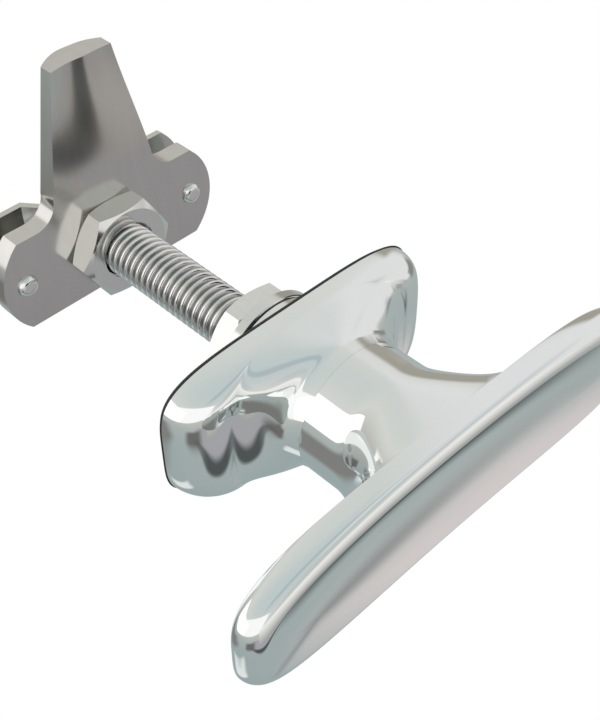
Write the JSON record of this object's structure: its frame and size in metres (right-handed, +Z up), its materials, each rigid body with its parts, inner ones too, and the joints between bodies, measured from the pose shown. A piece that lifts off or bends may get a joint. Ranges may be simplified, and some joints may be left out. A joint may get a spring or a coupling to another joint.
{
  "type": "t-handle cam latch",
  "caption": "Chromed T-handle on a lobed base turns a threaded spindle with an adjustable cam plate, a latch blade and forks for locking rods.",
  "frame": {"origin": "centre of the panel face, the rear face of the gasket, on the spindle axis", "axes": "+Y along the spindle into the door, handle at -Y; +X along the T-bar; +Z up along the latch blade"},
  "size_m": [0.088, 0.0989, 0.0499],
  "materials": {
    "chrome": "bright chrome plate, mirror polished",
    "cam_steel": "polished steel with soft reflections",
    "plated_steel": "bright plated steel",
    "thread_steel": "rolled bright steel thread",
    "bright_steel": "ground bright steel",
    "gasket_rubber": "matt black rubber",
    "friction_plastic": "matt black plastic",
    "bush_plastic": "natural bearing plastic"
  },
  "bodies": {
    "base": {"escutcheon_base": "chrome", "base_gasket": "gasket_rubber", "spindle_bush": "bush_plastic", "spindle_seal": "gasket_rubber"},
    "handle": {"t_handle": "chrome", "stop_pin": "bright_steel", "spindle": "thread_steel", "friction_washer": "friction_plastic", "flat_washer": "plated_steel", "retaining_nut": "plated_steel"},
    "cam": {"cam_plate": "cam_steel", "fork_bracket": "cam_steel", "rod_pin_left": "bright_steel", "rod_pin_right": "bright_steel", "cam_lock_nut": "plated_steel", "spring_lock_washer": "plated_steel", "rear_cam_nut": "plated_steel"}
  },
  "joints": [
    {"name": "handle_turn", "type": "hinge", "parent": "base", "child": "handle", "pos_m": [0, 0, 0], "axis": [0, 1, 0], "range_deg": [0, 90]},
    {"name": "grip_adjust", "type": "slide", "parent": "handle", "child": "cam", "axis": [0, 1, 0], "range_m": [-0.024, 0.002]}
  ]
}
